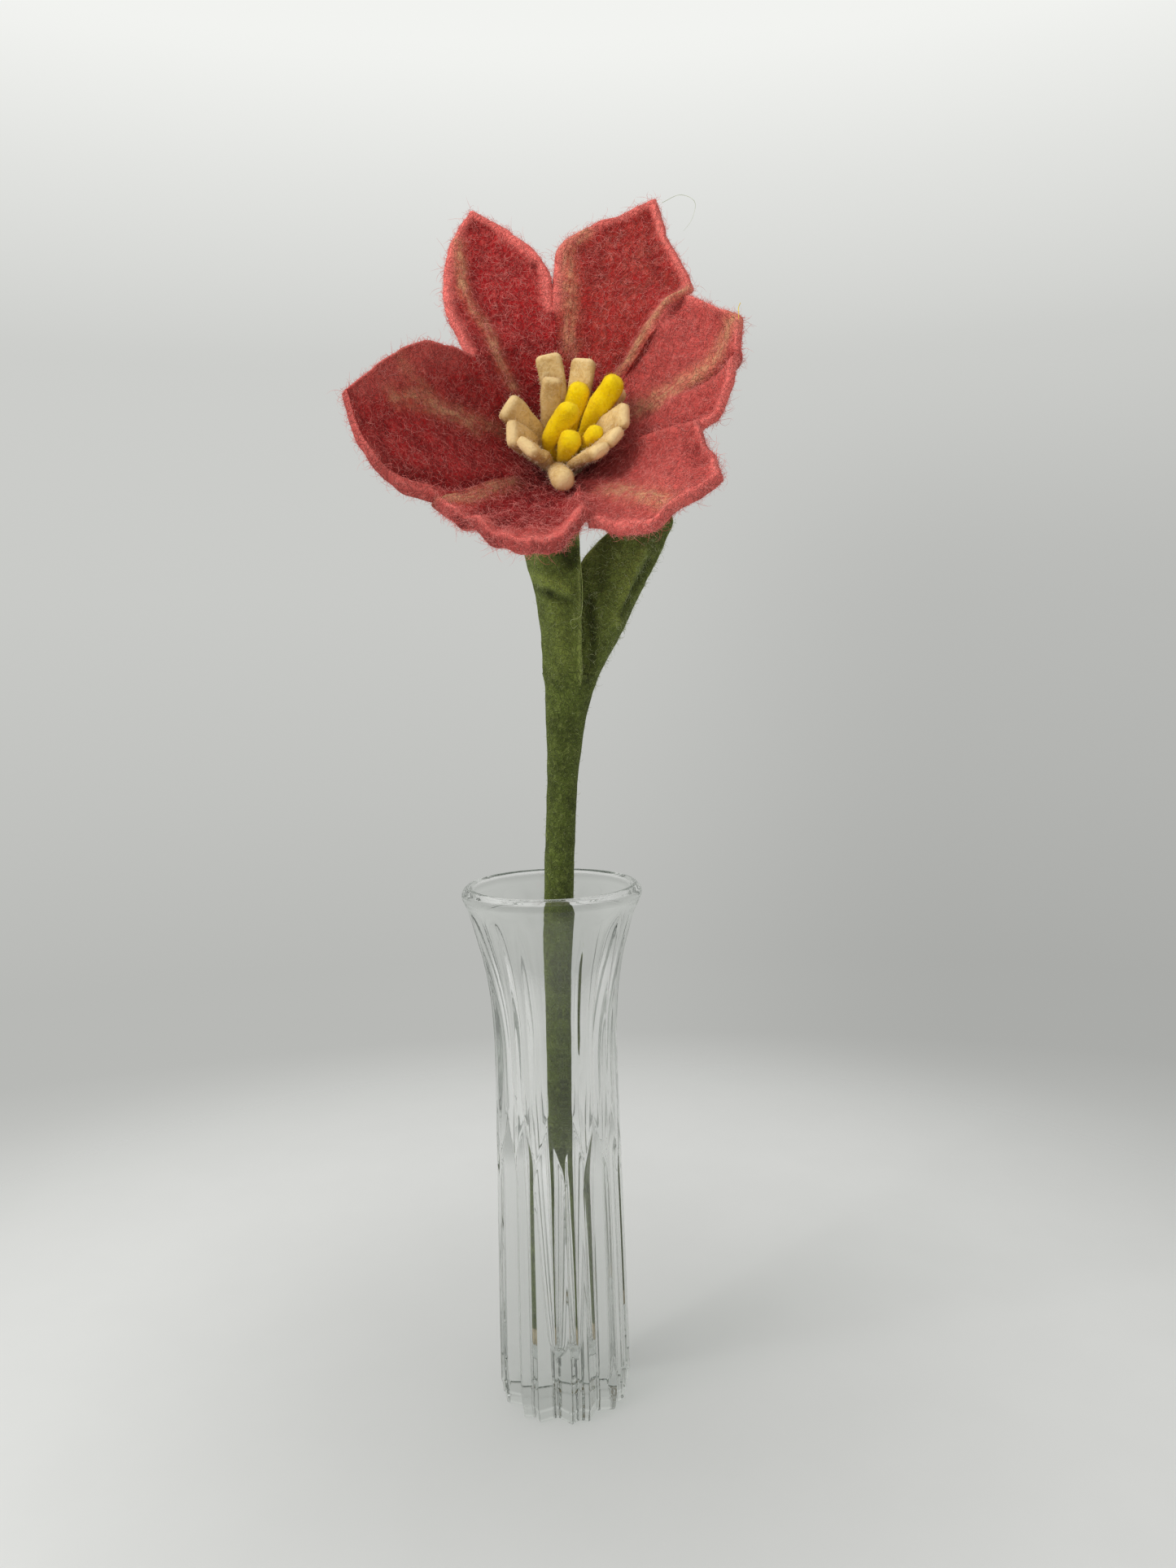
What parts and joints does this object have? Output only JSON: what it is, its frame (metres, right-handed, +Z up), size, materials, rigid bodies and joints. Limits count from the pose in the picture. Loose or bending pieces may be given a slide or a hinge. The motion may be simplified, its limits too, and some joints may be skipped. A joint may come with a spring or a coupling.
{
  "type": "artificial felt flower in a glass bud vase",
  "caption": "Handmade wool-felt hibiscus flower on a wired felt stem, standing in a fluted pressed-glass bud vase.",
  "frame": {"origin": "centre of the vase's foot, on the surface that it stands on", "axes": "+Z up along the vase; -Y forward, the way that the flower looks; +X to the flower's right as it is looked at"},
  "size_m": [0.1095, 0.1137, 0.3954],
  "materials": {
    "clear_glass": "clear pressed glass, polished",
    "green_felt": "dark and mid green mottled wool felt, fuzzy",
    "coral_felt": "coral red wool felt with pale and dark fibres, fuzzy",
    "cream_felt": "cream wool felt, fuzzy",
    "yellow_felt": "yellow wool felt, fuzzy",
    "wool_core": "undyed core wool, hidden inside the stem",
    "steel_wire": "bare wire, hidden inside the stem"
  },
  "bodies": {
    "root": {"vase": "clear_glass", "stem_sleeve": "green_felt", "stem_core": "wool_core", "stem_wire": "steel_wire", "flower_neck": "coral_felt", "leaf_left": "green_felt", "leaf_right": "green_felt", "petal_left": "coral_felt", "petal_upper_left": "coral_felt", "petal_upper_right": "coral_felt", "petal_right": "coral_felt", "petal_lower_right": "coral_felt", "petal_bottom": "coral_felt", "stamen_01": "cream_felt", "stamen_02": "cream_felt", "stamen_03": "cream_felt", "stamen_04": "cream_felt", "stamen_05": "cream_felt", "stamen_06": "cream_felt", "stamen_07": "cream_felt", "stamen_08": "cream_felt", "stamen_09": "cream_felt", "stamen_10": "cream_felt", "stamen_11": "cream_felt", "stigma_1": "yellow_felt", "stigma_2": "yellow_felt", "stigma_3": "yellow_felt", "stigma_4": "yellow_felt", "stigma_5": "yellow_felt"}
  },
  "joints": []
}
